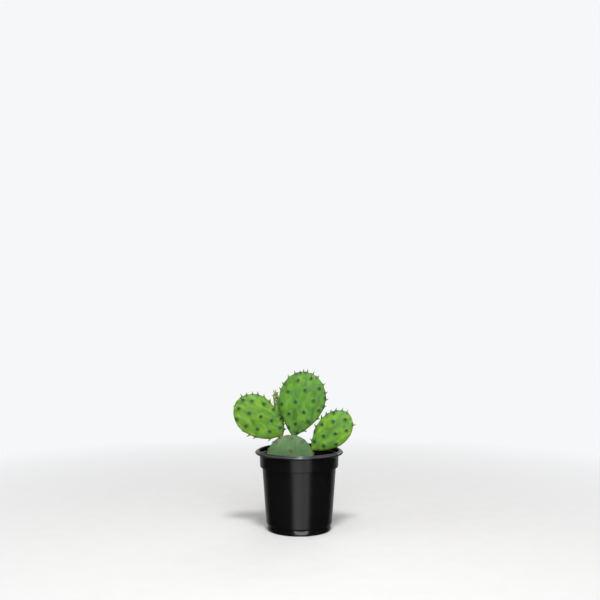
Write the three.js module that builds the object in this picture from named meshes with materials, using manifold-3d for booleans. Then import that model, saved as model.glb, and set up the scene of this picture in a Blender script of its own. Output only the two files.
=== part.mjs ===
// A young paddle cactus (prickly pear) in a black plastic nursery pot.
// Millimetres, +Z up. The origin is the middle of the pot's underside, where it stands on a table.
// The broad faces of the paddles look along -Y, which is the front.
import * as THREE from "three";
import { mergeVertices } from "three/addons/utils/BufferGeometryUtils.js";
import Module from "manifold-3d";

const wasm = await Module();
wasm.setup();

// ---------------------------------------------------------------- driving dimensions
const DEG = Math.PI / 180;
const POT_HEIGHT = 95;
const RIM_RADIUS = 52.5; // outer edge of the rolled lip
const COLLAR_RADIUS = 47.1; // the wider band under the lip
const COLLAR_BOTTOM = 75;
const BODY_TOP_RADIUS = 43.9;
const BODY_FOOT_RADIUS = 39.1;
const FOOT_HEIGHT = 8; // the slightly narrower band that the pot stands on
const STANDING_RADIUS = 37.2; // outside of the ring that it stands on
const STANDING_INNER_RADIUS = 31;
const CENTRE_BOSS_RADIUS = 11; // a round pad in the middle of the underside also touches the table
const UNDERSIDE_RECESS = 1.6;
const WALL = 1.1;
const FLOOR_TOP = 3.2;
const LIP_DEPTH = 4.1;
const POT_SEGMENTS = 64;

const DRAIN_SLOTS = 4;
const FIRST_SLOT_ANGLE = 4 * DEG; // from the front, towards +X
const SLOT_WIDTH_TOP = 19;
const SLOT_WIDTH_BOTTOM = 14;
const SLOT_BOTTOM = 1.7;
const SLOT_TOP = 7.3;
const WEEP_HOLE_RADIUS = 2.1;
const WEEP_HOLE_OFFSET = 30 * DEG; // from each slot
const FLOOR_HOLE_RADIUS = 4.5;
const FLOOR_HOLE_CIRCLE = 22;

const SOIL_TOP = 80.5; // at the wall
const SOIL_CROWN = 1.5; // how far the middle stands above that
const SOIL_SEGMENTS = 40;
const GAP = 0.3; // between pieces that touch
const PADDLE_STEPS = [24, 20]; // facets round a paddle and along it

const LEAF_LENGTH = 4.5;
const LEAF_RADIUS = 0.9;
const LEAF_LEAN = 0.7; // how far each leaf leans towards its paddle's tip
const EDGE_LEAF_TURN = 5 * DEG; // leaves stand by turns a little to the front and back of the edge
const BACK_LEAF_TURN = 50 * DEG; // and some stand just inside the edge, on the back
const EDGE_STEPS = 600;

// ---------------------------------------------------------------- materials
const plastic = new THREE.MeshStandardMaterial({ color: 0x131315, roughness: 0.4, metalness: 0 });
const pottingMix = new THREE.MeshStandardMaterial({ color: 0x2a211b, roughness: 1, metalness: 0 });
const oldSkin = new THREE.MeshStandardMaterial({ color: 0x54775a, roughness: 0.6, metalness: 0 });
const youngSkin = new THREE.MeshStandardMaterial({ color: 0x64983f, roughness: 0.5, metalness: 0 });
const leafSkin = new THREE.MeshStandardMaterial({ color: 0x56602a, roughness: 0.6, metalness: 0 });

// ---------------------------------------------------------------- solids and booleans
function solidOf(geometry, matrix) {
  const bare = geometry.clone();
  bare.deleteAttribute("normal");
  bare.deleteAttribute("uv");
  if (matrix) bare.applyMatrix4(matrix);
  const merged = mergeVertices(bare, 1e-3);
  return new wasm.Manifold(
    new wasm.Mesh({
      numProp: 3,
      vertProperties: merged.attributes.position.array,
      triVerts: new Uint32Array(merged.index.array),
    }),
  );
}

function geometryOf(solid) {
  const mesh = solid.getMesh();
  const geometry = new THREE.BufferGeometry();
  geometry.setAttribute("position", new THREE.BufferAttribute(mesh.vertProperties, 3));
  geometry.setIndex(new THREE.BufferAttribute(mesh.triVerts, 1));
  geometry.computeVertexNormals();
  return geometry;
}

function named(name, geometry, material) {
  const mesh = new THREE.Mesh(geometry, material);
  mesh.name = name;
  return mesh;
}

// A solid of revolution about Z from [radius, height] points that run up the outside and down the inside.
function turned(profile, segments) {
  const lathe = new THREE.LatheGeometry(
    profile.map(([r, z]) => new THREE.Vector2(r, z)),
    segments,
  );
  return lathe.rotateX(Math.PI / 2);
}

// A closed outline in the radial plane (x outwards, z up), drawn out sideways to a width.
function radialPrism(points, width) {
  const shape = new THREE.Shape(points.map(([x, z]) => new THREE.Vector2(x, z)));
  const prism = new THREE.ExtrudeGeometry(shape, { depth: width, bevelEnabled: false });
  return prism.translate(0, 0, -width / 2).rotateX(Math.PI / 2);
}

// Turns something built along +X so that it sits at an angle from the front (-Y) towards +X.
function atAngle(angle) {
  return new THREE.Matrix4().makeRotationZ(angle - Math.PI / 2);
}

// ---------------------------------------------------------------- pot
function potProfile() {
  const lipUnderside = POT_HEIGHT - LIP_DEPTH;
  const outside = [
    [0, 0],
    [CENTRE_BOSS_RADIUS, 0],
    [CENTRE_BOSS_RADIUS + 1, UNDERSIDE_RECESS],
    [STANDING_INNER_RADIUS - 1, UNDERSIDE_RECESS],
    [STANDING_INNER_RADIUS, 0],
    [STANDING_RADIUS - 0.8, 0],
    [STANDING_RADIUS + 0.3, 1],
    [BODY_FOOT_RADIUS - 1.1, FOOT_HEIGHT - 0.6],
    [BODY_FOOT_RADIUS, FOOT_HEIGHT + 0.4],
    [BODY_TOP_RADIUS, COLLAR_BOTTOM - 0.6],
    [COLLAR_RADIUS - 0.9, COLLAR_BOTTOM],
    [COLLAR_RADIUS - 0.5, COLLAR_BOTTOM + 0.9],
    [COLLAR_RADIUS, lipUnderside],
    [RIM_RADIUS - 0.9, lipUnderside],
  ];
  const lip = [
    [RIM_RADIUS, lipUnderside + 0.8],
    [RIM_RADIUS - 0.1, lipUnderside + 2],
    [RIM_RADIUS - 1.1, lipUnderside + 2.7],
    [RIM_RADIUS - 2.4, lipUnderside + 2.7],
    [RIM_RADIUS - 3.1, POT_HEIGHT - 0.4],
    [RIM_RADIUS - 3.9, POT_HEIGHT],
    [RIM_RADIUS - 4.7, POT_HEIGHT - 0.4],
  ];
  const inside = [
    [COLLAR_RADIUS + 0.1, POT_HEIGHT - 2],
    [COLLAR_RADIUS - 0.1, POT_HEIGHT - 5.9],
    [COLLAR_RADIUS - WALL, POT_HEIGHT - 6.5],
    [COLLAR_RADIUS - 0.5 - WALL, COLLAR_BOTTOM + 1.6],
    [BODY_TOP_RADIUS - WALL, COLLAR_BOTTOM + 0.6],
    [BODY_FOOT_RADIUS - WALL, FOOT_HEIGHT + 0.8],
    [BODY_FOOT_RADIUS - 1.1 - WALL, FOOT_HEIGHT],
    [STANDING_RADIUS - WALL, FLOOR_TOP],
    [0, FLOOR_TOP],
  ];
  return [...outside, ...lip, ...inside];
}

// Each drain slot is a pocket in the foot band, with a ramp that faces up and out and a thick wall behind it.
const RAMP_FOOT_RADIUS = 37.9;
const RAMP_HEAD_RADIUS = 35.2;
const BLOCK_INNER_RADIUS = 33.6;
const slotAngles = Array.from(
  { length: DRAIN_SLOTS },
  (_, i) => FIRST_SLOT_ANGLE + (i * 2 * Math.PI) / DRAIN_SLOTS,
);

function slotBlock(grow) {
  const outline = [
    [BLOCK_INNER_RADIUS - grow, FLOOR_TOP - 1],
    [STANDING_RADIUS - 0.6, FLOOR_TOP - 1],
    [STANDING_RADIUS - 0.6, SLOT_TOP + 1.2 + grow],
    [BLOCK_INNER_RADIUS - grow, SLOT_TOP + 1.2 + grow],
  ];
  return radialPrism(outline, SLOT_WIDTH_TOP + 0.6 + 2 * grow);
}

function slotCutter() {
  const ramp = [
    [RIM_RADIUS, SLOT_BOTTOM],
    [RIM_RADIUS, SLOT_TOP],
    [RAMP_HEAD_RADIUS, SLOT_TOP],
    [RAMP_HEAD_RADIUS, SLOT_TOP - 0.5],
    [RAMP_FOOT_RADIUS, SLOT_BOTTOM],
  ];
  const frontView = new THREE.Shape([
    new THREE.Vector2(-SLOT_WIDTH_BOTTOM / 2, SLOT_BOTTOM - 0.1),
    new THREE.Vector2(SLOT_WIDTH_BOTTOM / 2, SLOT_BOTTOM - 0.1),
    new THREE.Vector2(SLOT_WIDTH_TOP / 2, SLOT_TOP + 0.1),
    new THREE.Vector2(-SLOT_WIDTH_TOP / 2, SLOT_TOP + 0.1),
  ]);
  const front = new THREE.ExtrudeGeometry(frontView, { depth: RIM_RADIUS, bevelEnabled: false });
  front.rotateX(Math.PI / 2).rotateZ(Math.PI / 2);
  return solidOf(radialPrism(ramp, SLOT_WIDTH_TOP + 1)).intersect(solidOf(front));
}

function moved(solid, matrix) {
  return solid.transform(matrix.elements);
}

function makePot() {
  let pot = solidOf(turned(potProfile(), POT_SEGMENTS));
  const block = solidOf(slotBlock(0));
  const cutter = slotCutter();
  const weep = new THREE.CylinderGeometry(WEEP_HOLE_RADIUS, WEEP_HOLE_RADIUS, 8, 12);
  weep.rotateZ(Math.PI / 2).translate(STANDING_RADIUS, 0, 4.4);
  const floorHole = new THREE.CylinderGeometry(FLOOR_HOLE_RADIUS, FLOOR_HOLE_RADIUS, 12, 20);
  floorHole.rotateX(Math.PI / 2).translate(FLOOR_HOLE_CIRCLE, 0, 0);
  for (const angle of slotAngles) {
    pot = pot.add(moved(block, atAngle(angle)));
    pot = pot.subtract(moved(cutter, atAngle(angle)));
    pot = pot.subtract(solidOf(weep, atAngle(angle + WEEP_HOLE_OFFSET)));
    pot = pot.subtract(solidOf(floorHole, atAngle(angle + Math.PI / DRAIN_SLOTS)));
  }
  return pot;
}

// ---------------------------------------------------------------- paddles
// A paddle grows along its own +Z from its joint at the origin, with its width along X and its face along -Y.
// widest is the share of the length at which it is broadest. An end's taper of 0.5 is a half ellipse,
// and a higher one is more pointed. fromTip is how far each leaf's foot is from the tip, along an edge.
const FRONT = new THREE.Vector3(0, -1, 0);
const LEFT = -1; // edges as seen from the front
const RIGHT = 1;

const paddles = {
  base_paddle: {
    joint: [-10.8, -3, 24.6],
    grow: [0, 0, 1],
    twist: 0,
    length: 88,
    width: 59,
    thickness: 13,
    widest: 0.62,
    footTaper: 0.55,
    tipTaper: 0.5,
    material: oldSkin,
  },
  centre_paddle: {
    joint: [-7.2, -2.6, 109.2],
    grow: [0.235, 0.06, 1],
    twist: -8,
    length: 79.5,
    width: 55.6,
    thickness: 9.5,
    widest: 0.6,
    footTaper: 1.05,
    tipTaper: 0.5,
    leaves: [
      { edge: LEFT, fromTip: [42, 35, 25, 16, 6, 1] },
      { edge: RIGHT, fromTip: [6, 13, 24, 34, 42, 50, 66, 87] },
    ],
    parent: "base_paddle",
    material: youngSkin,
  },
  left_paddle: {
    joint: [-20, -4.4, 112.4],
    grow: [-0.8, -0.06, 0.6],
    twist: 12,
    length: 68,
    width: 47,
    thickness: 9,
    widest: 0.6,
    footTaper: 0.78,
    tipTaper: 0.56,
    leaves: [
      { edge: LEFT, fromTip: [73, 55, 48] },
      { edge: LEFT, fromTip: [36, 23, 10], behind: true },
      { edge: RIGHT, fromTip: [9, 15, 22, 28, 36, 44, 53, 63] },
    ],
    parent: "base_paddle",
    material: youngSkin,
  },
  right_paddle: {
    joint: [14.4, -3, 94.2],
    grow: [0.738, 0.02, 0.674],
    twist: -12,
    length: 62.4,
    width: 39.2,
    thickness: 8.5,
    widest: 0.58,
    footTaper: 1.02,
    tipTaper: 0.54,
    leaves: [
      { edge: LEFT, fromTip: [66, 49, 37, 30, 24, 18, 11, 5] },
      { edge: RIGHT, fromTip: [13] },
      { edge: RIGHT, fromTip: [26, 38, 50, 62], behind: true },
    ],
    parent: "base_paddle",
    material: youngSkin,
  },
  rear_paddle: {
    joint: [-19.8, 2.8, 108.8],
    grow: [-0.15, 0.5, 0.86],
    twist: 84,
    length: 58.5,
    width: 35,
    thickness: 6.4,
    widest: 0.62,
    footTaper: 1,
    tipTaper: 0.52,
    leaves: [
      { edge: LEFT, fromTip: [39, 30, 22, 15, 9, 3] },
      { edge: RIGHT, fromTip: [3, 9, 16, 23, 31, 40] },
    ],
    parent: "base_paddle",
    material: youngSkin,
  },
};

// How much of its greatest width or thickness a paddle has at a share t of its length.
function swell(paddle, t, footTaper, tipTaper) {
  const towardsFoot = t < paddle.widest;
  const away = towardsFoot ? (paddle.widest - t) / paddle.widest : (t - paddle.widest) / (1 - paddle.widest);
  return Math.pow(Math.max(1 - away * away, 0), towardsFoot ? footTaper : tipTaper);
}

function halfWidth(paddle, t) {
  return (paddle.width / 2) * swell(paddle, t, paddle.footTaper, paddle.tipTaper);
}

function halfThickness(paddle, t) {
  return (paddle.thickness / 2) * swell(paddle, t, paddle.footTaper * 0.6, paddle.tipTaper);
}

// The paddle's frame: growth along Z, turned about it by the twist from facing the front.
function frameOf(paddle) {
  const z = new THREE.Vector3(...paddle.grow).normalize();
  const towards = FRONT.clone().addScaledVector(z, -FRONT.dot(z)).normalize();
  const face = towards.applyAxisAngle(z, paddle.twist * DEG);
  const y = face.negate();
  const x = new THREE.Vector3().crossVectors(y, z);
  return new THREE.Matrix4().makeBasis(x, y, z).setPosition(...paddle.joint);
}

// A sphere pulled into the paddle's shape. grow makes it larger all round, to cut room for it in a neighbour.
function paddleSolid(paddle, grow = 0) {
  const ball = new THREE.SphereGeometry(1, ...PADDLE_STEPS).rotateX(Math.PI / 2);
  const points = ball.attributes.position;
  for (let i = 0; i < points.count; i++) {
    const up = points.getZ(i);
    const t = Math.min(Math.max((up + 1) / 2, 0), 1);
    const radius = Math.hypot(points.getX(i), points.getY(i));
    const turn = Math.atan2(points.getY(i), points.getX(i));
    const onAxis = radius < 1e-6;
    const w = onAxis ? 0 : halfWidth(paddle, t) + grow;
    const h = onAxis ? 0 : halfThickness(paddle, t) + grow;
    points.setXYZ(i, w * Math.cos(turn), h * Math.sin(turn), t * paddle.length + grow * up);
  }
  return solidOf(ball, frameOf(paddle));
}

// ---------------------------------------------------------------- leaves round the paddles' edges
// A six-sided awl.
function leafGeometry() {
  const profile = [
    [0, 0],
    [LEAF_RADIUS, 0],
    [LEAF_RADIUS * 0.85, LEAF_LENGTH * 0.45],
    [LEAF_RADIUS * 0.25, LEAF_LENGTH * 0.93],
    [0, LEAF_LENGTH],
  ];
  return turned(profile, 6);
}

// The place on a paddle's edge at a distance from its tip, walked in small steps, and the way out from there.
function edgePlace(paddle, edge, fromTip) {
  const at = (step) => {
    const t = 1 - (step / EDGE_STEPS) ** 2;
    return { t, point: new THREE.Vector2(edge * halfWidth(paddle, t), t * paddle.length) };
  };
  let step = 0;
  for (let walked = 0; walked < fromTip; step++) {
    walked += at(step).point.distanceTo(at(step + 1).point);
  }
  const along = at(step).point.clone().sub(at(step - 1).point).normalize();
  return { ...at(step), outward: new THREE.Vector2(-edge * along.y, edge * along.x) };
}

function makeLeaves(name, paddle) {
  const frame = frameOf(paddle);
  const stands = paddle.leaves.flatMap(({ edge, fromTip, behind }) =>
    fromTip.map((distance) => ({ ...edgePlace(paddle, edge, distance), behind })),
  );
  return stands.map(({ t, point, outward, behind }, k) => {
    // Turned from the edge towards the front.
    const turn = behind ? -BACK_LEAF_TURN : k % 2 ? EDGE_LEAF_TURN : -EDGE_LEAF_TURN;
    const half = new THREE.Vector2(halfWidth(paddle, t), halfThickness(paddle, t));
    const foot = new THREE.Vector3(point.x * Math.cos(turn), -half.y * Math.sin(turn), point.y);
    const normal = new THREE.Vector3(outward.x, 0, outward.y)
      .multiplyScalar(half.y * Math.cos(turn))
      .add(new THREE.Vector3(0, -half.x * Math.sin(turn), 0))
      .normalize();
    const direction = normal.clone().add(new THREE.Vector3(0, 0, LEAF_LEAN)).normalize();
    const dip = Math.sqrt(1 - normal.dot(direction) ** 2) * LEAF_RADIUS;
    foot.addScaledVector(normal, GAP + dip);
    const upright = new THREE.Quaternion().setFromUnitVectors(new THREE.Vector3(0, 0, 1), direction);
    const leaf = named(`${name}_leaf_${String(k + 1).padStart(2, "0")}`, leafGeometry(), leafSkin);
    leaf.applyMatrix4(new THREE.Matrix4().compose(foot, upright, new THREE.Vector3(1, 1, 1)));
    leaf.applyMatrix4(frame);
    return leaf;
  });
}

// ---------------------------------------------------------------- soil
function makeSoil() {
  const edge = COLLAR_RADIUS - 0.5 - WALL - GAP;
  const profile = [
    [0, FLOOR_TOP + GAP],
    [STANDING_RADIUS - WALL - GAP, FLOOR_TOP + GAP],
    [BODY_FOOT_RADIUS - 1.1 - WALL - GAP, FOOT_HEIGHT + GAP],
    [BODY_FOOT_RADIUS - WALL - GAP, FOOT_HEIGHT + 0.8 + GAP],
    [BODY_TOP_RADIUS - WALL - GAP, COLLAR_BOTTOM + 0.6 + GAP],
    [edge, COLLAR_BOTTOM + 1.6 + GAP],
    [edge, SOIL_TOP],
    [edge * 0.85, SOIL_TOP + SOIL_CROWN * 0.5],
    [edge * 0.5, SOIL_TOP + SOIL_CROWN],
    [0, SOIL_TOP + SOIL_CROWN],
  ];
  let soil = solidOf(turned(profile, SOIL_SEGMENTS));
  soil = soil.subtract(paddleSolid(paddles.base_paddle, GAP));
  const room = solidOf(slotBlock(GAP));
  for (const angle of slotAngles) soil = soil.subtract(moved(room, atAngle(angle)));
  return soil;
}

// ---------------------------------------------------------------- assembly
const cactus = new THREE.Group();
cactus.name = "potted_paddle_cactus";
cactus.add(named("nursery_pot", geometryOf(makePot()), plastic));
cactus.add(named("potting_soil", geometryOf(makeSoil()), pottingMix));
for (const [name, paddle] of Object.entries(paddles)) {
  let solid = paddleSolid(paddle);
  if (paddle.parent) solid = solid.subtract(paddleSolid(paddles[paddle.parent], GAP));
  cactus.add(named(name, geometryOf(solid), paddle.material));
  if (paddle.leaves) cactus.add(...makeLeaves(name, paddle));
}

export default cactus;
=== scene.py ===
"""A young paddle cactus in a black nursery pot, on a pale floor in soft studio light.

Lengths in the tables are millimetres, as a gardener would measure them, and MM turns them into metres.
"""

import math
import random

import bpy
import numpy as np
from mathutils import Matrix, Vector


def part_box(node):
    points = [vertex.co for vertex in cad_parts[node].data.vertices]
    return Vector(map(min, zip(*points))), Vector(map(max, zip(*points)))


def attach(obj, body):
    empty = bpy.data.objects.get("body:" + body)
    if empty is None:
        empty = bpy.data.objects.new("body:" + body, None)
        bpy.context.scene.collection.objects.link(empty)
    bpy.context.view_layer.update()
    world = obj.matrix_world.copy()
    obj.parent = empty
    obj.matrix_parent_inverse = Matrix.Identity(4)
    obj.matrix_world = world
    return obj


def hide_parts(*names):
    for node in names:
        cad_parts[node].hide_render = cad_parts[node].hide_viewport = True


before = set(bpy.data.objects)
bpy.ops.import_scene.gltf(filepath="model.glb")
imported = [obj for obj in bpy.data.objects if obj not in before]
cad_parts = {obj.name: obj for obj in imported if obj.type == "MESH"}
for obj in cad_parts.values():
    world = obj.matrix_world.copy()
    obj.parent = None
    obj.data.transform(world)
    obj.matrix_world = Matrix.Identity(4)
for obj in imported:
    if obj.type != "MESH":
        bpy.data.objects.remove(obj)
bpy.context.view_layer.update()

MM = 0.001
BODY = "root"
FRONT = np.array([0.0, -1.0, 0.0])
UP = np.array([0.0, 0.0, 1.0])

POT_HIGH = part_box("nursery_pot")[1]
POT_HEIGHT = POT_HIGH.z / MM
RIM_RADIUS = POT_HIGH.x / MM
SOIL_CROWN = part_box("potting_soil")[1].z / MM

# The pot's driving dimensions, in mm, and the angles of what is cut into it, from the front towards +X.
COLLAR_RADIUS = 47.1
COLLAR_BOTTOM = 75.0
BODY_TOP_RADIUS = 43.9
BODY_FOOT_RADIUS = 39.1
FOOT_RADIUS = 38.0
FOOT_HEIGHT = 8.0
STANDING_RADIUS = 37.2
WALL = 1.1
FLOOR_TOP = 3.2
LIP_DEPTH = 4.6
POT_SEGMENTS = 192
DRAIN_SLOTS = 4
FIRST_SLOT_ANGLE = math.radians(4)
SLOT_HALF_ANGLE = 16.5
WEEP_HOLE_RADIUS = 2.1
WEEP_HOLE_OFFSET = math.radians(30)
FLOOR_HOLE_RADIUS = 4.5
FLOOR_HOLE_CIRCLE = 22
SHARP_ANGLE = 19

SOIL_EDGE = 45.15
CRUMBS = 1500
TUBERCLE_YOUNG = 0.8
TUBERCLE_OLD = 0.45


# ------------------------------------------------------------------ vectors and meshes
def unit(v):
    v = np.asarray(v, float)
    return v / np.linalg.norm(v, axis=-1, keepdims=True)


class Soup:
    """Collects parts of a mesh, in metres, with numbers for each vertex under each attribute's name."""

    def __init__(self):
        self.points, self.faces, self.values, self.count = [], [], {}, 0

    def add(self, points, faces, **values):
        points = np.asarray(points, float).reshape(-1, 3)
        self.faces += [tuple(int(i) + self.count for i in face) for face in faces]
        self.points.append(points)
        for name, value in values.items():
            filled = np.broadcast_to(np.asarray(value, float), (len(points),))
            self.values.setdefault(name, []).append(filled)
        self.count += len(points)

    def build(self, name, material, smooth=True):
        mesh = bpy.data.meshes.new(name)
        mesh.from_pydata(np.concatenate(self.points).tolist(), [], self.faces)
        mesh.polygons.foreach_set("use_smooth", [smooth] * len(mesh.polygons))
        for key, parts in self.values.items():
            attribute = mesh.attributes.new(key, "FLOAT", "POINT")
            attribute.data.foreach_set("value", np.concatenate(parts).astype(np.float32))
        mesh.materials.append(material)
        mesh.update()
        piece = bpy.data.objects.new(name, mesh)
        bpy.context.scene.collection.objects.link(piece)
        return piece


def ball_faces(rows, cols):
    """Faces of a grid of rows x cols vertices closed by a first and a last vertex, facing out."""
    last = rows * cols + 1

    def ring(row, col):
        return 1 + row * cols + col % cols

    faces = [(0, ring(0, c + 1), ring(0, c)) for c in range(cols)]
    for r in range(rows - 1):
        faces += [(ring(r, c), ring(r, c + 1), ring(r + 1, c + 1), ring(r + 1, c)) for c in range(cols)]
    faces += [(last, ring(rows - 1, c), ring(rows - 1, c + 1)) for c in range(cols)]
    return faces


def lathe_points(profile, segments):
    """Vertices of a profile of (radius, height) turned about Z. The first and last points lie on the axis."""
    turn = np.linspace(0, 2 * math.pi, segments, endpoint=False)
    body = np.array(profile[1:-1])
    rings = np.stack(
        [np.outer(body[:, 0], np.cos(turn)), np.outer(body[:, 0], np.sin(turn)),
         np.repeat(body[:, 1:], segments, axis=1)], axis=-1).reshape(-1, 3)
    ends = [[[0, 0, profile[0][1]]], rings, [[0, 0, profile[-1][1]]]]
    return np.concatenate(ends) * MM


def filleted(corners, steps=6):
    """A profile of (radius, height, fillet) corners with each corner rounded off by an arc."""
    points = [np.array(corners[0][:2], float)]
    for before, corner, after in zip(corners, corners[1:], corners[2:]):
        here = np.array(corner[:2], float)
        back, on = np.array(before[:2]) - here, np.array(after[:2]) - here
        reach = min(corner[2], np.linalg.norm(back) * 0.45, np.linalg.norm(on) * 0.45)
        start, end = here + unit(back) * reach, here + unit(on) * reach
        for s in np.linspace(0, 1, steps + 1):
            points.append((1 - s) ** 2 * start + 2 * s * (1 - s) * here + s ** 2 * end)
    points.append(np.array(corners[-1][:2], float))
    return points


def sharpen(piece, degrees):
    """Keeps a hard edge wherever two faces meet at more than this angle."""
    piece.data.set_sharp_from_angle(angle=math.radians(degrees))


# ------------------------------------------------------------------ material building
class Nodes:
    """A short way to write a node material."""

    def __init__(self, name):
        self.material = bpy.data.materials.new(name)
        self.material.use_nodes = True
        self.tree = self.material.node_tree
        self.shader = self.tree.nodes["Principled BSDF"]
        self.place = self.node("ShaderNodeTexCoord").outputs["Object"]

    def node(self, kind, **settings):
        made = self.tree.nodes.new(kind)
        for key, value in settings.items():
            setattr(made, key, value)
        return made

    def plug(self, value, socket):
        if isinstance(value, bpy.types.NodeSocket):
            self.tree.links.new(value, socket)
        else:
            socket.default_value = value

    def noise(self, scale, detail=3.0, roughness=0.5, where=None, distortion=0.0):
        made = self.node("ShaderNodeTexNoise")
        self.plug(where or self.place, made.inputs["Vector"])
        made.inputs["Scale"].default_value = scale
        made.inputs["Detail"].default_value = detail
        made.inputs["Roughness"].default_value = roughness
        made.inputs["Distortion"].default_value = distortion
        return made.outputs["Fac"]

    def cells(self, scale):
        made = self.node("ShaderNodeTexVoronoi", feature="F1")
        self.plug(self.place, made.inputs["Vector"])
        made.inputs["Scale"].default_value = scale
        return made.outputs["Distance"]

    def attribute(self, name):
        return self.node("ShaderNodeAttribute", attribute_name=name).outputs["Fac"]

    def ramp(self, value, *stops):
        """stops are (position, colour) or (position, grey)."""
        made = self.node("ShaderNodeValToRGB")
        self.plug(value, made.inputs["Fac"])
        elements = made.color_ramp.elements
        while len(elements) < len(stops):
            elements.new(0.5)
        for element, (position, colour) in zip(elements, stops):
            element.position = position
            element.color = (*colour, 1) if isinstance(colour, tuple) else (colour, colour, colour, 1)
        return made.outputs["Color"]

    def mix(self, share, a, b):
        made = self.node("ShaderNodeMix", data_type="RGBA")
        self.plug(share, made.inputs[0])
        self.plug((*a, 1) if isinstance(a, tuple) else a, made.inputs[6])
        self.plug((*b, 1) if isinstance(b, tuple) else b, made.inputs[7])
        return made.outputs[2]

    def maths(self, operation, a, b=0.0):
        made = self.node("ShaderNodeMath", operation=operation, use_clamp=False)
        self.plug(a, made.inputs[0])
        self.plug(b, made.inputs[1])
        return made.outputs[0]

    def span(self, value, low, high, to_low=0.0, to_high=1.0):
        made = self.node("ShaderNodeMapRange", clamp=True)
        for socket, given in zip(made.inputs, (value, low, high, to_low, to_high)):
            self.plug(given, socket)
        return made.outputs["Result"]

    def bump(self, height, strength, distance, under=None):
        made = self.node("ShaderNodeBump")
        self.plug(height, made.inputs["Height"])
        made.inputs["Strength"].default_value = strength
        made.inputs["Distance"].default_value = distance
        if under:
            self.plug(under, made.inputs["Normal"])
        return made.outputs["Normal"]

    def finish(self, colour, roughness, normal=None, specular=0.5):
        self.plug(colour, self.shader.inputs["Base Color"])
        self.plug(roughness, self.shader.inputs["Roughness"])
        self.shader.inputs["Specular IOR Level"].default_value = specular
        if normal:
            self.plug(normal, self.shader.inputs["Normal"])
        return self.material


def plastic_material():
    """Black moulded plastic: a faint grain, fine scuffs, a little dust, and a lighter grey on upward-facing
    surfaces that is partly settled dust and partly painted light from above.
    """
    m = Nodes("pot_plastic")
    grain = m.noise(1800, detail=2)
    ripple = m.noise(70, detail=2)
    scuffs = m.span(m.noise(420, detail=6, roughness=0.75, distortion=1.5), 0.58, 0.72)
    dust = m.span(m.noise(2600, detail=4, roughness=0.8), 0.62, 0.8)
    # Upward-facing surfaces, the lip's top most of all, get a lighter grey: partly dust that settles there,
    # partly painted light from above.
    upward = m.node("ShaderNodeSeparateXYZ")
    m.plug(m.node("ShaderNodeNewGeometry").outputs["Normal"], upward.inputs[0])
    dust_and_painted_top_light = m.span(upward.outputs["Z"], 0.1, 0.8, 0.0, 0.8)
    dust_and_painted_top_light = m.maths("MULTIPLY", dust_and_painted_top_light, m.span(ripple, 0.3, 0.7, 0.6, 1.0))
    colour = m.mix(dust_and_painted_top_light, (0.0045, 0.0045, 0.005), (0.062, 0.064, 0.068))
    colour = m.mix(m.maths("MULTIPLY", dust, 0.25), colour, (0.06, 0.057, 0.052))
    roughness = m.maths("ADD", m.span(ripple, 0.3, 0.7, 0.18, 0.25), m.maths("MULTIPLY", scuffs, 0.12))
    normal = m.bump(grain, 0.12, 0.00006, under=m.bump(ripple, 0.12, 0.0008))
    return m.finish(colour, roughness, normal)


def soil_material():
    """Dark peat: fibrous, matt, with lighter and redder crumbs."""
    m = Nodes("potting_mix")
    lumps = m.noise(380, detail=6, roughness=0.65)
    fibre = m.noise(1500, detail=4, roughness=0.7, distortion=2.0)
    colour = m.ramp(
        lumps, (0.3, (0.008, 0.006, 0.005)), (0.55, (0.022, 0.015, 0.011)), (0.75, (0.05, 0.033, 0.022)))
    colour = m.mix(m.span(fibre, 0.6, 0.75), colour, (0.075, 0.048, 0.03))
    normal = m.bump(fibre, 0.7, 0.0005, under=m.bump(lumps, 0.8, 0.001))
    return m.finish(colour, m.span(lumps, 0.3, 0.7, 0.85, 1.0), normal, specular=0.2)


def crumb_material():
    """Bark chips, peat crumbs and grit. Each crumb's tint chooses its colour."""
    m = Nodes("soil_crumbs")
    tint = m.attribute("tint")
    streaks = m.noise(900, detail=5, roughness=0.7)
    colour = m.ramp(
        tint, (0.0, (0.012, 0.009, 0.007)), (0.45, (0.03, 0.02, 0.013)), (0.75, (0.07, 0.042, 0.025)),
        (0.93, (0.13, 0.085, 0.05)), (0.97, (0.3, 0.28, 0.25)))
    colour = m.mix(m.span(streaks, 0.35, 0.7, 0.0, 0.6), colour, (0.008, 0.006, 0.005))
    roughness = m.span(streaks, 0.3, 0.7, 0.75, 0.95)
    return m.finish(colour, roughness, m.bump(streaks, 0.6, 0.0004), specular=0.25)


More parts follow.
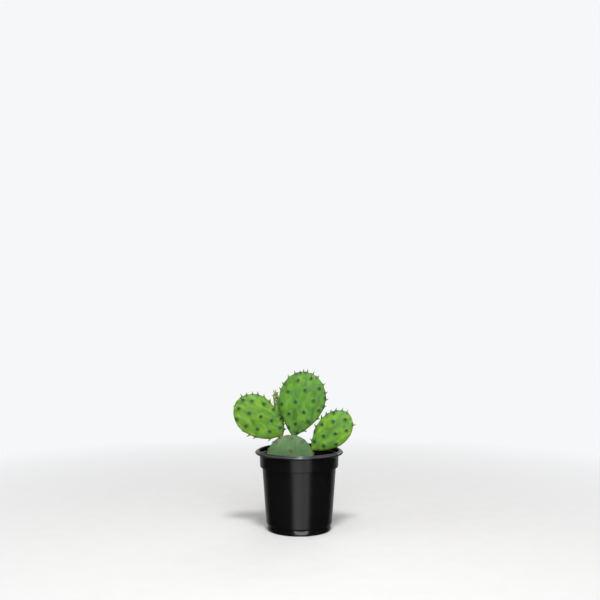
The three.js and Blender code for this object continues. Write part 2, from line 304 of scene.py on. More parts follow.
def young_skin_material(name, shade, seed):
    """Satin green skin: mottled lengthwise, darker round each areole, partly its own colour and partly
    painted shadow of its leaf, and yellower at the edge.
    """
    m = Nodes(name)
    spot = m.node("ShaderNodeCombineXYZ")
    m.plug(m.attribute("across"), spot.inputs[0])
    m.plug(m.maths("MULTIPLY", m.attribute("along"), 0.45), spot.inputs[1])
    spot.inputs[2].default_value = seed
    streaks = m.noise(0.16, detail=4, roughness=0.55, where=spot.outputs[0], distortion=0.4)
    blotches = m.noise(95, detail=3)
    pores = m.noise(2400, detail=3, roughness=0.6)
    # shade scales every colour of the skin; for the rear pad it also paints light onto a pad that stands in
    # shadow.
    dark, middle, light = [tuple(c * s for c, s in zip(base, shade)) for base in
                           ((0.062, 0.185, 0.020), (0.114, 0.300, 0.022), (0.190, 0.420, 0.030))]
    colour = m.ramp(streaks, (0.36, dark), (0.5, middle), (0.64, light))
    colour = m.mix(m.span(blotches, 0.42, 0.62, 0.0, 0.35), colour, (0.070, 0.25, 0.052))
    colour = m.mix(m.maths("MULTIPLY", m.attribute("below_areole"), 0.55), colour, (0.12, 0.31, 0.006))
    colour = m.mix(m.span(m.attribute("edge"), 0.965, 1.0, 0.0, 0.6), colour, (0.085, 0.13, 0.02))
    # Darker round each areole: partly the areole's own colour, partly painted shadow of the leaf there.
    colour = m.mix(m.span(m.attribute("areole"), 0.1, 0.85, 0.0, 0.92), colour, (0.024, 0.075, 0.034))
    colour = m.mix(m.attribute("foot"), colour, (0.20, 0.19, 0.05))
    colour = m.mix(m.span(pores, 0.55, 0.75, 0.0, 0.12), colour, (0.3, 0.45, 0.15))
    normal = m.bump(pores, 0.16, 0.00012, under=m.bump(blotches, 0.2, 0.0009))
    return m.finish(colour, m.span(streaks, 0.3, 0.7, 0.46, 0.56), normal, specular=0.3)


def old_skin_material():
    """Dull blue-green skin with a waxy bloom, faint corky flecks and darker areoles."""
    m = Nodes("old_pad_skin")
    clouds = m.noise(60, detail=5, roughness=0.6)
    veins = m.noise(330, detail=5, roughness=0.65, distortion=0.8)
    pores = m.noise(2200, detail=3, roughness=0.6)
    colour = m.ramp(
        clouds, (0.3, (0.066, 0.155, 0.054)), (0.5, (0.092, 0.205, 0.072)), (0.72, (0.130, 0.250, 0.100)))
    colour = m.mix(m.span(veins, 0.5, 0.68, 0.0, 0.3), colour, (0.15, 0.25, 0.12))
    colour = m.mix(m.span(veins, 0.24, 0.36, 0.4, 0.0), colour, (0.12, 0.125, 0.06))
    stretched = m.node("ShaderNodeMapping")
    m.plug(m.place, stretched.inputs["Vector"])
    stretched.inputs["Scale"].default_value = (260, 260, 60)
    streaks = m.noise(1.0, detail=4, roughness=0.6, where=stretched.outputs[0])
    colour = m.mix(m.span(streaks, 0.42, 0.66, 0.0, 0.4), colour, (0.16, 0.26, 0.13))
    colour = m.mix(m.span(streaks, 0.3, 0.44, 0.45, 0.0), colour, (0.06, 0.135, 0.055))
    specks = m.span(m.cells(210), 0.0, 0.16, 1.0, 0.0)
    colour = m.mix(m.maths("MULTIPLY", specks, 0.45), colour, (0.16, 0.15, 0.09))
    colour = m.mix(m.span(m.attribute("edge"), 0.92, 1.0, 0.0, 0.5), colour, (0.105, 0.155, 0.062))
    colour = m.mix(m.span(m.attribute("areole"), 0.2, 0.95, 0.0, 0.75), colour, (0.07, 0.075, 0.04))
    colour = m.mix(m.attribute("soil_line"), colour, (0.075, 0.075, 0.04))
    normal = m.bump(pores, 0.2, 0.00014, under=m.bump(veins, 0.22, 0.0004))
    return m.finish(colour, m.span(clouds, 0.3, 0.7, 0.55, 0.68), normal, specular=0.35)


def leaf_material(name, foot, body, tip, painted_shade):
    """A fleshy leaf with a reddish foot and a darker tip. A low tint gives it a darker colour that is painted
    shade.
    """
    m = Nodes(name)
    cells = m.noise(1400, detail=3)
    middle = tuple((a + b) / 2 for a, b in zip(foot, body))
    colour = m.ramp(m.attribute("along"), (0.0, foot), (0.24, middle), (0.45, body), (0.8, body), (1.0, tip))
    # Painted shade: a low tint swaps the leaf's own colour for a darker one, for leaves that stand end-on.
    colour = m.mix(m.span(m.attribute("tint"), 0.1, 0.8, 0.75, 0.0), colour, painted_shade)
    colour = m.mix(m.span(cells, 0.5, 0.7, 0.0, 0.3), colour, (0.16, 0.12, 0.05))
    return m.finish(colour, m.span(cells, 0.3, 0.7, 0.42, 0.55), m.bump(cells, 0.2, 0.0001), specular=0.4)


def glochid_material(name, dark, light, felt):
    """Fine barbed bristles in a felt cushion."""
    m = Nodes(name)
    fuzz = m.noise(4200, detail=4, roughness=0.8)
    colour = m.ramp(m.attribute("tint"), (0.0, dark), (0.75, light), (1.0, felt))
    colour = m.mix(m.span(fuzz, 0.4, 0.65, 0.0, 0.45), colour, dark)
    return m.finish(colour, m.span(fuzz, 0.3, 0.7, 0.6, 0.85), m.bump(fuzz, 0.8, 0.00012), specular=0.3)


# ------------------------------------------------------------------ pot
def prism(outline, start, end):
    """A closed prism along X, from start to end, with an outline of (y, z) points."""
    n = len(outline)
    points = [(x, y, z) for x in (start, end) for y, z in outline]
    faces = [tuple(range(n))[::-1], tuple(range(n, 2 * n))]
    faces += [(i, (i + 1) % n, n + (i + 1) % n, n + i) for i in range(n)]
    return np.array(points) * MM, faces


def upright_prism(outline, low, high):
    """A closed prism along Z with an outline of (x, y) points."""
    points, faces = prism(outline, low, high)
    return points[:, [1, 2, 0]], faces


def circle(radius, sides):
    turns = np.linspace(0, 2 * math.pi, sides, endpoint=False)
    return [(radius * math.cos(a), radius * math.sin(a)) for a in turns]


def turned(points, angle):
    """Turns something built along +X so that it sits at an angle from the front towards +X."""
    a = angle - math.pi / 2
    turn = np.array([[math.cos(a), -math.sin(a), 0], [math.sin(a), math.cos(a), 0], [0, 0, 1]])
    return points @ turn.T


def boolean(piece, points, faces, operation):
    tool = Soup()
    tool.add(points, faces)
    cutter = tool.build("tool", piece.data.materials[0])
    step = piece.modifiers.new("cut", "BOOLEAN")
    step.object, step.operation, step.solver = cutter, operation, "EXACT"
    bpy.context.view_layer.objects.active = piece
    bpy.ops.object.modifier_apply(modifier=step.name)
    bpy.data.objects.remove(cutter)


def underside():
    """The pot's profile as (radius, height, fillet): a boss in the middle and a ring that it stands on."""
    return [
        (0, 0, 0), (11, 0, 0.4), (12, 1.6, 0.4), (30, 1.6, 0.4), (31, 0, 0.4), (36.6, 0, 0.8),
        (37.6, 1.2, 0.5)]


def outside():
    """Up the foot band and the body to the collar."""
    low = COLLAR_BOTTOM
    return [
        (FOOT_RADIUS, FOOT_HEIGHT - 0.7, 0.3), (BODY_FOOT_RADIUS, FOOT_HEIGHT + 0.4, 0.5),
        (BODY_TOP_RADIUS, low - 0.7, 0.15), (BODY_TOP_RADIUS + 0.4, low - 0.2, 0.1),
        (46.3, low, 0.45), (46.6, low + 1, 0.3)]


def lip():
    """The rolled lip: out under it, round its edge and in over its top."""
    low = POT_HEIGHT - LIP_DEPTH
    return [
        (COLLAR_RADIUS, low, 0.3), (RIM_RADIUS - 1.3, low, 0.4), (RIM_RADIUS - 0.3, low + 0.9, 0.5),
        (RIM_RADIUS, low + 1.5, 0.3), (RIM_RADIUS - 0.55, low + 2.6, 0.7), (RIM_RADIUS - 1.6, low + 3.2, 0.6),
        (RIM_RADIUS - 2.4, low + 3.25, 0.25), (RIM_RADIUS - 2.9, POT_HEIGHT - 0.7, 0.35),
        (RIM_RADIUS - 3.6, POT_HEIGHT, 0.5), (RIM_RADIUS - 4.4, POT_HEIGHT - 0.1, 0.4),
        (RIM_RADIUS - 5.0, POT_HEIGHT - 0.8, 0.4)]


def inside():
    """Down the inner wall to the floor."""
    return [
        (COLLAR_RADIUS + 0.1, POT_HEIGHT - 2, 0.4), (COLLAR_RADIUS - 0.1, POT_HEIGHT - 5.8, 0.15),
        (COLLAR_RADIUS - WALL, POT_HEIGHT - 6.4, 0.15),
        (COLLAR_RADIUS - 0.5 - WALL, COLLAR_BOTTOM + 1.6, 0.4),
        (BODY_TOP_RADIUS - WALL, COLLAR_BOTTOM + 0.6, 0.4), (BODY_FOOT_RADIUS - WALL, FOOT_HEIGHT + 0.8, 0.4),
        (FOOT_RADIUS - WALL, FOOT_HEIGHT, 0.4), (STANDING_RADIUS - WALL, FLOOR_TOP, 0.8), (0, FLOOR_TOP, 0)]


def pot_cutters():
    """The block behind a drain slot, its mouth, a weep hole and a floor hole, each along +X."""
    turns = np.radians(np.linspace(-SLOT_HALF_ANGLE, SLOT_HALF_ANGLE, 12))
    curve = [(37.0 * math.cos(a), 37.0 * math.sin(a)) for a in turns]
    block = upright_prism([(33.6, -10.5), *curve, (33.6, 10.5)], 2.2, 8.5)
    mouth = prism([(-6.5, 1.6), (6.5, 1.6), (8.8, 7.4), (-8.8, 7.4)], 35.2, 55)
    weep = prism([(y, z + 4.4) for y, z in circle(WEEP_HOLE_RADIUS, 24)], 33.2, 41.2)
    hole = upright_prism([(x + FLOOR_HOLE_CIRCLE, y) for x, y in circle(FLOOR_HOLE_RADIUS, 40)], -6, 6)
    return block, mouth, weep, hole


def make_pot(material):
    profile = filleted(underside() + outside() + lip() + inside())
    pot = Soup()
    pot.add(lathe_points(profile, POT_SEGMENTS), ball_faces(len(profile) - 2, POT_SEGMENTS))
    pot = pot.build("pot", material)
    block, mouth, weep, hole = pot_cutters()
    for i in range(DRAIN_SLOTS):
        angle = FIRST_SLOT_ANGLE + i * 2 * math.pi / DRAIN_SLOTS
        boolean(pot, turned(block[0], angle), block[1], "UNION")
        boolean(pot, turned(ramped(mouth[0]), angle), mouth[1], "DIFFERENCE")
        boolean(pot, turned(weep[0], angle + WEEP_HOLE_OFFSET), weep[1], "DIFFERENCE")
        boolean(pot, turned(hole[0], angle + math.pi / DRAIN_SLOTS), hole[1], "DIFFERENCE")
    sharpen(pot, SHARP_ANGLE)
    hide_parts("nursery_pot")
    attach(pot, BODY)


def ramped(points):
    """Leans a drain slot's inner end, so that its back is a ramp that faces up and out."""
    points = points.copy()
    inner = points[:, 0] < 36 * MM
    low = points[:, 2] < 3 * MM
    points[inner & low, 0] = 37.9 * MM
    return points


# ------------------------------------------------------------------ soil
def soil_height(x, y, waves):
    """Height of the soil in mm at a place in mm: a low crown with lumps."""
    radius = np.hypot(x, y)
    height = SOIL_CROWN - 1.3 - 1.4 * np.clip(radius / 45, 0, 1) ** 2
    for kx, ky, phase, size in waves:
        height = height + size * np.sin(kx * x + ky * y + phase)
    return height


def make_soil(bed_material, crumb_finish, old_pad):
    rng = random.Random(7)
    waves = []
    for k in range(14):
        wavelength = 26 / (1.32 ** k)
        turn = rng.uniform(0, 2 * math.pi)
        waves.append((2 * math.pi / wavelength * math.cos(turn), 2 * math.pi / wavelength * math.sin(turn),
                      rng.uniform(0, 6.28), 0.42 * (wavelength / 26) ** 0.8))
    rings, segments = 66, 200
    profile = [(0, 3.6), (35.7, 3.6), (36.5, 8.3), (37.6, 9.1), (42.4, 75.9), (45.1, 77.0)]
    top = [(SOIL_EDGE * (1 - i / rings), 80.0) for i in range(rings)]
    points = lathe_points(profile + top + [(0, 80.0)], segments)
    surface = points[:, 2] > 79 * MM
    points[surface, 2] = soil_height(points[surface, 0] / MM, points[surface, 1] / MM, waves) * MM
    bed = Soup()
    bed.add(points, ball_faces(len(profile) + len(top) - 1, segments))
    bed = bed.build("soil_bed", bed_material)
    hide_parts("potting_soil")
    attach(bed, BODY)

    crumbs = Soup()
    for _ in range(CRUMBS):
        size = rng.choice([0.7, 0.9, 1.1, 1.4, 1.9, 2.6]) * rng.uniform(0.8, 1.25)
        radius, turn = 44.3 * math.sqrt(rng.random()), rng.uniform(0, 2 * math.pi)
        x, y = min(radius, 45 - size) * math.cos(turn), min(radius, 45 - size) * math.sin(turn)
        if old_pad.covers(x, y, size * 0.7):
            continue
        z = float(soil_height(x, y, waves)) + size * rng.uniform(-0.1, 0.3)
        add_crumb(crumbs, (x, y, min(z, SOIL_CROWN + 0.6)), size, rng)
    crumbs = crumbs.build("soil_crumbs", crumb_finish, smooth=False)
    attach(crumbs, BODY)


def add_crumb(soup, place, size, rng):
    """An uneven flattened fragment with five sides."""
    rows, cols = 2, 5
    points = [(0, 0, -1.0)]
    for row in range(rows):
        for col in range(cols):
            turn = 2 * math.pi * (col + 0.5 * row) / cols
            reach = rng.uniform(0.65, 1.15)
            rise = (row - 0.5) * rng.uniform(0.7, 1.2)
            points.append((reach * math.cos(turn), reach * math.sin(turn), rise))
    points.append((0, 0, 1.0))
    shape = np.array(points) * [size * 0.62, size * rng.uniform(0.3, 0.5), size * rng.uniform(0.2, 0.38)]
    turn, lean = rng.uniform(0, 6.28), rng.uniform(-0.5, 0.5)
    about_x = np.array([[1, 0, 0], [0, math.cos(lean), -math.sin(lean)], [0, math.sin(lean), math.cos(lean)]])
    about_z = np.array([[math.cos(turn), -math.sin(turn), 0], [math.sin(turn), math.cos(turn), 0], [0, 0, 1]])
    shape = shape @ (about_z @ about_x).T + place
    soup.add(shape * MM, ball_faces(rows, cols), tint=rng.random() ** 1.3)


# ------------------------------------------------------------------ pads
class Pad:
    """A flat cactus stem, in mm. It grows along its own z from its joint, with its width along x and its
    front at -y."""

    def __init__(self, node, joint, grow, twist, length, width, thickness, widest, foot_taper, tip_taper,
                 fullness, **areoles):
        self.node, self.joint = node, np.array(joint, float)
        self.length, self.width, self.thickness = length, width, thickness
        self.widest, self.foot_taper, self.tip_taper = widest, foot_taper, tip_taper
        self.fullness, self.areoles = fullness, areoles
        self.edge_tuft, self.face_tuft = (0.75, 9, 1.5), (0.6, 8, 1.1)
        z = unit(grow)
        face = unit(FRONT - z * FRONT.dot(z))
        a = math.radians(twist)
        face = face * math.cos(a) + np.cross(z, face) * math.sin(a)
        self.axes = np.array([np.cross(-face, z), -face, z])

    def swell(self, t, foot_taper):
        t = np.clip(t, 0, 1)
        below = (self.widest - t) / self.widest
        above = (t - self.widest) / (1 - self.widest)
        away = np.where(t < self.widest, below, above)
        return np.maximum(1 - away ** 2, 0) ** np.where(t < self.widest, foot_taper, self.tip_taper)

    def half_width(self, t):
        return self.width / 2 * self.swell(t, self.foot_taper)

    def half_thickness(self, t):
        return self.thickness / 2 * self.swell(t, self.foot_taper * 0.6)

    def skin(self, t, turn):
        """The point at a share of the length and an angle round the section, in the pad's own mm."""
        x = self.half_width(t) * np.cos(turn)
        rise = np.sin(turn)
        y = self.half_thickness(t) * np.sign(rise) * np.abs(rise) ** self.fullness
        return np.stack(np.broadcast_arrays(x, y, np.asarray(t, float) * self.length), axis=-1)

    def skin_normal(self, t, turn):
        d = 1e-3
        along = self.skin(t + d, turn) - self.skin(t - d, turn)
        round_ = self.skin(t, turn + d) - self.skin(t, turn - d)
        return unit(np.cross(round_, along))

    def world(self, local):
        return (np.asarray(local) @ self.axes + self.joint) * MM

    def direction(self, local):
        return np.asarray(local) @ self.axes

    def local(self, world):
        return (np.asarray(world) / MM - self.joint) @ self.axes.T

    def covers(self, x, y, margin):
        """Whether the pad, standing upright, takes up this place at the height of the soil."""
        t = (SOIL_CROWN - self.joint[2]) / self.length
        across = (x - self.joint[0]) / (float(self.half_width(t)) + margin)
        deep = (y - self.joint[1]) / (float(self.half_thickness(t)) + margin)
        return across ** 2 + deep ** 2 < 1


def face_areoles(pad, side):
    """Places of the areoles on one face: a slanting lattice that spreads and narrows with the pad.
    side is -1 for the front and 1 for the back, where the lattice is half a step out. Odd ones,
    which stand between the rows, are on the front."""
    origin, rise, step = pad.areoles["origin"], pad.areoles["rise"], pad.areoles["step"]
    found = list(pad.areoles.get("odd", [])) if side < 0 else []
    for i in range(-9, 10):
        for j in range(-9, 10):
            sway = origin[0] + i * rise[0] + j * step[0] + (0.19 if side > 0 else 0)
            t = (origin[1] + i * rise[1] + j * step[1] + (3.5 if side > 0 else 0)) / pad.length
            if abs(sway) < pad.areoles["reach"] and pad.areoles["lowest"] < t < 0.97:
                found.append((t, side * (math.pi / 2 - sway)))
    return found


def leaf_line(node):
    """The foot and the tip of a CAD leaf, in metres. The foot's corners are the furthest from the tip."""
    corners = np.array([v.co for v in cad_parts[node].data.vertices], float)
    middle = corners.mean(0)
    tip = corners[np.argmax(np.linalg.norm(corners - middle, axis=1))]
    reach = np.linalg.norm(corners - tip, axis=1)
    return corners[reach > 0.96 * reach.max()].mean(0), tip


def leaf_nodes(pad):
    return sorted(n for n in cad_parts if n.startswith(pad.node + "_leaf_"))


def skin_grid(rows, cols):
    share = (1 - np.cos(np.pi * np.arange(1, rows + 1) / (rows + 1))) / 2
    turn = np.linspace(0, 2 * math.pi, cols, endpoint=False)
    t, a = np.meshgrid(share, turn, indexing="ij")
    return t.ravel(), a.ravel()


def make_pad(pad, name, material, rows, cols, seed, tubercle, places):
    """The pad's skin: its outline and section, slow undulations, and a low mound with a pit at each areole.
    places are the areoles' places on it, in its own mm."""
    rng = random.Random(seed)
    t, turn = skin_grid(rows, cols)
    points, normals = pad.skin(t, turn), pad.skin_normal(t, turn)
    ends = pad.skin(np.array([0.0, 1.0]), np.zeros(2))
    points = np.concatenate([ends[:1], points, ends[1:]])
    normals = np.concatenate([[[0, 0, -1.0]], normals, [[0, 0, 1.0]]])
    t = np.concatenate([[0.0], t, [1.0]])
    turn = np.concatenate([[0.0], turn, [0.0]])
    lift = np.zeros(len(points))
    for _ in range(7):
        wave = unit([rng.gauss(0, 1) for _ in range(3)]) * 2 * math.pi / rng.uniform(18, 42)
        lift += rng.uniform(0.05, 0.13) * np.sin(points @ wave + rng.uniform(0, 6.28))
    nearest = np.full(len(points), 1e9)
    under = np.zeros(len(points))
    for place in places:
        gap = np.linalg.norm(points - place, axis=1)
        nearest = np.minimum(nearest, gap)
        lift += tubercle * np.exp(-((gap / 2.6) ** 2)) - tubercle * 0.7 * np.exp(-((gap / 0.8) ** 2))
        offset = (points - (np.array(place) - [0, 0, 4.2])) / [3.0, 4.0, 3.4]
        under = np.maximum(under, np.exp(-(offset ** 2).sum(axis=1)))
    held = np.clip(t / 0.06, 0, 1) * np.clip((1 - t) / 0.01, 0, 1)
    points = points + normals * (lift * held)[:, None]
    world = pad.world(points)
    soil_line = np.clip((SOIL_CROWN + 4 - world[:, 2] / MM) / 5, 0, 1)
    skin = Soup()
    # Near each areole the young skins darken; that darkening is partly the areole's own colour and partly
    # painted shadow of its leaf.
    skin.add(world, ball_faces(rows, cols), areole=np.exp(-((nearest / 2.5) ** 2)), edge=np.abs(np.cos(turn)),
             across=points[:, 0] + 40 * np.sign(points[:, 1]), along=points[:, 2], below_areole=under,
             foot=np.clip(1 - t / 0.07, 0, 1) ** 2, soil_line=soil_line)
    piece = skin.build(name, material)
    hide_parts(pad.node)
    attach(piece, BODY)
    return piece


# ------------------------------------------------------------------ leaves and bristles
def across(direction):
    """Two directions at right angles to this one and to each other."""
    side = unit(np.cross(direction, UP if abs(direction[2]) < 0.9 else FRONT))
    return side, np.cross(direction, side)


def add_leaf(soup, foot, tip, outward, thickness, tint):
    """A curved awl from foot to tip, in mm, that first stands out along outward and then bends over."""
    rows, cols = 9, 10
    length = np.linalg.norm(tip - foot)
    bend = foot + (unit(outward) * 0.3 + unit(tip - foot) * 0.7) * length * 0.5
    points, along = [foot], [0.0]
    for s in np.linspace(0.02, 0.97, rows):
        centre = (1 - s) ** 2 * foot + 2 * s * (1 - s) * bend + s ** 2 * tip
        heading = unit(2 * (1 - s) * (bend - foot) + 2 * s * (tip - bend))
        side, other = across(heading)
        radius = thickness / 2 * min(1, 0.72 + 1.9 * s) * (1 - s ** 1.7) ** 0.8
        for c in range(cols):
            a = 2 * math.pi * c / cols
            points.append(centre + side * radius * math.cos(a) + other * radius * 0.86 * math.sin(a))
            along.append(s)
    points.append(tip)
    along.append(1.0)
    soup.add(np.array(points) * MM, oriented(points, rows, cols), along=along, tint=tint)


def oriented(points, rows, cols):
    """ball_faces, turned round if the given points would make them face inwards."""
    faces = ball_faces(rows, cols)
    p = np.array(points)
    a, b, c = (p[i] for i in faces[0])
    if np.dot(np.cross(b - a, c - a), a - p.mean(0)) < 0:
        faces = [face[::-1] for face in faces]
    return faces


def add_tuft(soup, place, normal, spread, bristles, length, rng):
    """A felt cushion with a tuft of fine bristles, in mm."""
    side, other = across(normal)
    rows, cols = 4, 12
    points = [place - normal * 0.25]
    for row in range(rows):
        polar = math.pi * (row + 1) / (rows + 1)
        for c in range(cols):
            a = 2 * math.pi * c / cols
            reach = spread * math.sin(polar) * rng.uniform(0.88, 1.12)
            rise = -math.cos(polar) * spread * 0.55 * rng.uniform(0.9, 1.1)
            points.append(place + side * reach * math.cos(a) + other * reach * math.sin(a) + normal * rise)
    points.append(place + normal * spread * 0.55)
    soup.add(np.array(points) * MM, oriented(points, rows, cols), tint=rng.uniform(0.6, 1.0))
    for _ in range(bristles):
        lean, turn = rng.uniform(0, 0.95), rng.uniform(0, 6.28)
        heading = unit(normal + (side * math.cos(turn) + other * math.sin(turn)) * lean)
        base = place + (side * math.cos(turn) + other * math.sin(turn)) * spread * 0.75 * rng.random()
        s, o = across(heading)
        ring = [base + (s * math.cos(a) + o * math.sin(a)) * 0.075 for a in (0, 2.094, 4.189)]
        point = base + heading * length * rng.uniform(0.6, 1.1)
        corners = np.array(ring + [point]) * MM
        faces = [(0, 2, 1), (0, 1, 3), (1, 2, 3), (2, 0, 3)]
        if np.dot(np.cross(corners[1] - corners[0], corners[2] - corners[0]), heading) < 0:
            faces = [face[::-1] for face in faces]
        soup.add(corners, faces, tint=rng.uniform(0, 0.8))


def grow_young_pad(pad, name, skin, leaf_finish, tuft_finish, rows, cols, seed):
    """A young pad with a leaf and a small tuft at every areole, on its edge and on both of its faces."""
    rng = random.Random(seed)
    leaves, tufts, places = Soup(), Soup(), []
    nodes = leaf_nodes(pad)
    for node in nodes:
        foot, tip = leaf_line(node)
        foot, tip = foot / MM, tip / MM
        heading = unit(tip - foot)
        local = pad.local(foot * MM)
        t = float(np.clip(local[2] / pad.length, 0.02, 0.995))
        turn = math.atan2(local[1] / float(pad.half_thickness(t)), local[0] / float(pad.half_width(t)))
        place = pad.skin(t, turn)
        outward = pad.direction(pad.skin_normal(t, turn))
        tip = foot + heading * np.linalg.norm(tip - foot) * rng.uniform(0.68, 0.92)
        add_leaf(leaves, foot - heading * 1.2, tip, outward, rng.uniform(1.7, 2.0), rng.uniform(0.6, 1.0))
        above = pad.axes[2] - outward * outward.dot(pad.axes[2])
        add_tuft(tufts, pad.world(place) / MM + above * 0.95, outward, *pad.edge_tuft, rng)
        places.append(place)
    margin = len(places)
    for side in (-1, 1):
        for t, turn in face_areoles(pad, side):
            place = pad.skin(t, turn)
            if min(np.linalg.norm(place - p) for p in places[:margin]) < pad.areoles["clear"]:
                continue
            normal = pad.direction(pad.skin_normal(t, turn))
            foot = pad.world(place) / MM
            lean = 0.35 + 0.75 * t + rng.uniform(-0.12, 0.12)
            heading = unit(normal + pad.axes[2] * lean + pad.axes[0] * rng.uniform(-0.15, 0.15))
            tip = foot + heading * rng.uniform(3.4, 4.3)
            # Face leaves get a low tint, so their colour is mostly the painted shade of their finish.
            add_leaf(leaves, foot - normal * 0.5, tip, normal, rng.uniform(1.9, 2.3), rng.uniform(0.0, 0.35))
            above = pad.axes[2] - normal * normal.dot(pad.axes[2])
            add_tuft(tufts, foot + above * 1.05, normal, *pad.face_tuft, rng)
            places.append(place)
    make_pad(pad, name, skin, rows, cols, seed, TUBERCLE_YOUNG, places)
    leaves = leaves.build(name + "_leaves", leaf_finish)
    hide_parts(*nodes)
    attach(leaves, BODY)
    tufts = tufts.build(name + "_glochids", tuft_finish)
    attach(tufts, BODY)


def grow_old_pad(pad, name, skin, tuft_finish):
    """The planted pad: no leaves, and a large tuft of bristles at every areole."""
    rng = random.Random(31)
    places, tufts = [], Soup()
    spots = [(t, turn) for side in (-1, 1) for t, turn in face_areoles(pad, side)]
    spots += [(t, rng.uniform(-0.05, 0.05)) for t in (0.75, 0.82, 0.99)]
    spots += [(t, math.pi + rng.uniform(-0.05, 0.05)) for t in (0.72, 0.81, 0.9, 0.96)]
    spots += [(0.965, -2.8), (0.985, -1.95), (0.965, -1.4), (0.93, -0.25)]
    for t, turn in spots:
        place, normal = pad.skin(t, turn), pad.direction(pad.skin_normal(t, turn))
        foot = pad.world(place) / MM
        if foot[2] < SOIL_CROWN + 1:
            continue
        places.append(place)
        add_tuft(tufts, foot + normal * 0.1, normal, rng.uniform(0.85, 1.2), 44, 2.0, rng)
    make_pad(pad, name, skin, 150, 220, 5, TUBERCLE_OLD, places)
    tufts = tufts.build(name + "_glochids", tuft_finish)
    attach(tufts, BODY)


OLD_PAD = Pad(
    "base_paddle", joint=(-10.8, -3, 24.6), grow=(0, 0, 1), twist=0, length=88, width=59, thickness=13,
    widest=0.62, foot_taper=0.55, tip_taper=0.5, fullness=0.8,
    origin=(0.035, 70.3), rise=(0.78, 9.9), step=(-1.05, 9.9), reach=1.15, lowest=0.62)
CENTRE_PAD = Pad(
    "centre_paddle", joint=(-7.2, -2.6, 109.2), grow=(0.235, 0.06, 1), twist=-8, length=79.5, width=55.6,
    thickness=9.5, widest=0.6, foot_taper=1.05, tip_taper=0.5, fullness=0.76,
    origin=(-0.23, 42), rise=(0.285, 15.6), step=(-0.48, 9.5), reach=1.32, lowest=0.08, clear=3.4)
LEFT_PAD = Pad(
    "left_paddle", joint=(-20, -4.4, 112.4), grow=(-0.8, -0.06, 0.6), twist=12, length=68, width=47,
    thickness=9, widest=0.6, foot_taper=0.78, tip_taper=0.56, fullness=0.76,
    origin=(0.1, 34.2), rise=(-0.222, 13.2), step=(0.671, 5.65), reach=1.32, lowest=0.08, clear=3.4,
    odd=[(0.917, -1.15)])
RIGHT_PAD = Pad(
    "right_paddle", joint=(14.4, -3, 94.2), grow=(0.738, 0.02, 0.674), twist=-12, length=62.4, width=39.2,
    thickness=8.5, widest=0.58, foot_taper=1.02, tip_taper=0.54, fullness=0.76,
    origin=(-0.147, 22.4), rise=(0.411, 12.1), step=(-0.641, 7.5), reach=1.25, lowest=0.1, clear=3.4)
REAR_PAD = Pad(
    "rear_paddle", joint=(-19.8, 2.8, 108.8), grow=(-0.15, 0.5, 0.86), twist=84, length=58.5, width=35,
    thickness=6.4, widest=0.62, foot_taper=1, tip_taper=0.52, fullness=0.76,
    origin=(0.1, 30), rise=(0.4, 7.5), step=(-0.62, 5.2), reach=1.25, lowest=0.12, clear=3.0)


def make_plant():
    olive, sunny = (0.72, 0.77, 0.69), (1.0, 0.90, 0.58)
    # The rear pad's scale is partly its paler young colour and partly painted light, as that pad stands in
    # the centre pad's shadow.
    warm, young_tone_and_painted_light = (1.08, 0.99, 0.70), (1.6, 1.3, 1.0)
    REAR_PAD.edge_tuft = REAR_PAD.face_tuft = (1.8, 18, 1.7)
    # The last colour of each leaf finish is painted shade, used by the leaves on the faces.
    green_leaf = leaf_material("leaf_skin", (0.42, 0.12, 0.03), (0.105, 0.145, 0.035), (0.075, 0.04, 0.02),
                               (0.020, 0.048, 0.020))
    pale_leaf = leaf_material("rear_leaf_skin", (0.50, 0.33, 0.16), (0.24, 0.30, 0.07), (0.30, 0.16, 0.07),
                              (0.10, 0.17, 0.04))
    wool = glochid_material("rear_glochids", (0.30, 0.15, 0.08), (0.62, 0.45, 0.28), (0.78, 0.70, 0.50))
    tuft_finish = glochid_material(
        "young_glochids", (0.10, 0.045, 0.02), (0.38, 0.15, 0.055), (0.42, 0.27, 0.14))
    old_tufts = glochid_material("old_glochids", (0.24, 0.05, 0.02), (0.62, 0.16, 0.045), (0.5, 0.22, 0.1))
    grow_old_pad(OLD_PAD, "old_pad", old_skin_material(), old_tufts)
    for pad, name, shade, rows, cols, seed in (
            (CENTRE_PAD, "centre_pad", olive, 150, 240, 11),
            (LEFT_PAD, "left_pad", sunny, 130, 208, 12),
            (RIGHT_PAD, "right_pad", warm, 120, 180, 13),
            (REAR_PAD, "rear_pad", young_tone_and_painted_light, 110, 168, 14)):
        skin = young_skin_material(name + "_skin", shade, seed * 3.7)
        finishes = (pale_leaf, wool) if pad is REAR_PAD else (green_leaf, tuft_finish)
        grow_young_pad(pad, name, skin, *finishes, rows, cols, seed)


# ------------------------------------------------------------------ stage, light and camera
BACKDROP = (0.9226, 0.9304, 0.9473)


def make_floor():
    """A wide, plain, pale floor that fades into the backdrop. It isn't seen in reflections."""
    m = Nodes("floor_paint")
    speckle = m.noise(40, detail=3)
    m.finish(m.ramp(speckle, (0.3, (0.765, 0.76, 0.75)), (0.7, (0.785, 0.78, 0.77))), 0.85, specular=0.1)
    distance = m.node("ShaderNodeVectorMath", operation="LENGTH")
    m.plug(m.place, distance.inputs[0])
    far = m.span(distance.outputs["Value"], 0.18, 0.75)
    glow = m.node("ShaderNodeEmission")
    glow.inputs["Color"].default_value = (*BACKDROP, 1)
    fade = m.node("ShaderNodeMixShader")
    m.plug(far, fade.inputs[0])
    m.plug(m.shader.outputs[0], fade.inputs[1])
    m.plug(glow.outputs[0], fade.inputs[2])
    m.plug(fade.outputs[0], m.tree.nodes["Material Output"].inputs["Surface"])
    reach = 30.0
    flat = Soup()
    flat.add([(-reach, -reach, 0), (reach, -reach, 0), (reach, reach, 0), (-reach, reach, 0)], [(0, 1, 2, 3)])
    floor = flat.build("floor", m.material)
    floor.visible_glossy = False


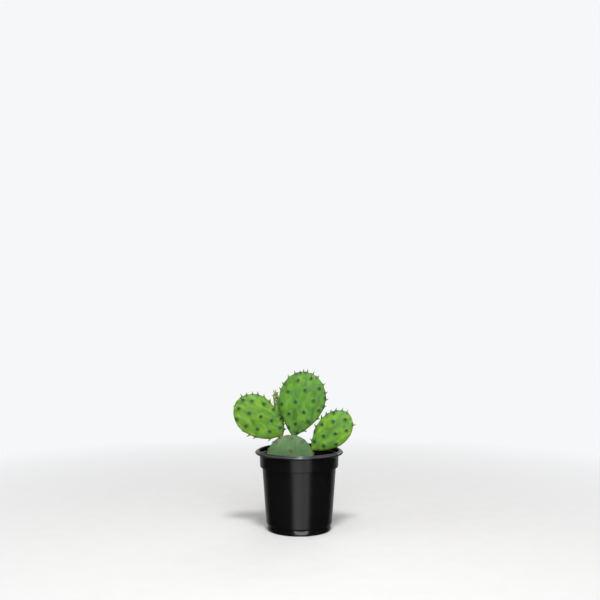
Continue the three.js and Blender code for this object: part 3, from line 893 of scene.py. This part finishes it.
def make_world():
    """A studio that is bright behind the object and overhead, and dim in front of it but for one tall light.
    The camera itself sees the plain backdrop."""
    world = bpy.data.worlds.new("studio")
    bpy.context.scene.world = world
    world.use_nodes = True
    m = Nodes.__new__(Nodes)
    m.tree = world.node_tree
    m.tree.nodes.clear()
    parts = m.node("ShaderNodeSeparateXYZ")
    m.plug(m.node("ShaderNodeTexCoord").outputs["Generated"], parts.inputs[0])
    x, y, z = parts.outputs
    sideways = m.maths("DIVIDE", x, m.maths("MAXIMUM", m.maths("MULTIPLY", y, -1.0), 0.05))
    behind = m.span(y, 0.5, 0.95, 0.02, 0.55)
    above = m.span(z, 0.3, 0.95, 0.0, 0.4)
    gap = m.span(m.maths("ABSOLUTE", m.maths("SUBTRACT", sideways, 0.27)), 0.0, 0.12, 0.6, 1.0)
    tall = m.maths("MULTIPLY", m.span(sideways, -0.5, -0.25), m.span(sideways, 0.5, 0.8, 1.0, 0.0))
    tall = m.maths("MULTIPLY", tall, m.span(y, -0.5, -0.2, 1.4, 0.0))
    tall = m.maths("MULTIPLY", tall, gap)
    brightness = m.maths("MAXIMUM", m.maths("MAXIMUM", behind, above), tall)
    studio, plain = m.node("ShaderNodeBackground"), m.node("ShaderNodeBackground")
    m.plug(brightness, studio.inputs["Strength"])
    plain.inputs["Color"].default_value = (*BACKDROP, 1)
    choose, output = m.node("ShaderNodeMixShader"), m.node("ShaderNodeOutputWorld")
    m.plug(m.node("ShaderNodeLightPath").outputs["Is Camera Ray"], choose.inputs[0])
    m.plug(studio.outputs[0], choose.inputs[1])
    m.plug(plain.outputs[0], choose.inputs[2])
    m.plug(choose.outputs[0], output.inputs["Surface"])


def softbox(name, place, target, size, watts):
    lamp = bpy.data.lights.new(name, "AREA")
    lamp.shape = "RECTANGLE"
    lamp.size, lamp.size_y = size
    lamp.energy = watts
    box = bpy.data.objects.new(name, lamp)
    box.location = place
    box.rotation_euler = (Vector(target) - Vector(place)).to_track_quat("-Z", "Y").to_euler()
    box.visible_camera = False
    bpy.context.scene.collection.objects.link(box)


def make_lights():
    middle = (0, 0, 0.1)
    softbox("key", (0.16, -1.15, 0.95), middle, (0.95, 0.75), 5.6)
    softbox("overhead", (0, -0.45, 1.3), middle, (1.0, 0.8), 3.4)
    softbox("strip", (0.03, -0.68, 1.3), middle, (0.24, 0.2), 10)
    softbox("fill_left", (-1.3, -0.4, 0.7), middle, (0.7, 0.9), 2.5)
    softbox("fill_back", (0.5, 1.4, 1.1), middle, (1.2, 0.9), 5)


def make_camera():
    """Level, a little over a metre in front of the pot, as high as the middle of its view."""
    lens = bpy.data.cameras.new("camera")
    lens.sensor_width, lens.lens = 36.0, 55.7
    camera = bpy.data.objects.new("camera", lens)
    camera.location = (0.001, -1.107, 0.273)
    camera.rotation_euler = (math.radians(90), 0, 0)
    bpy.context.scene.collection.objects.link(camera)
    bpy.context.scene.camera = camera


make_camera()
make_world()
make_lights()
make_floor()
make_pot(plastic_material())
make_soil(soil_material(), crumb_material(), OLD_PAD)
make_plant()
bpy.context.scene.view_settings.view_transform = "Standard"
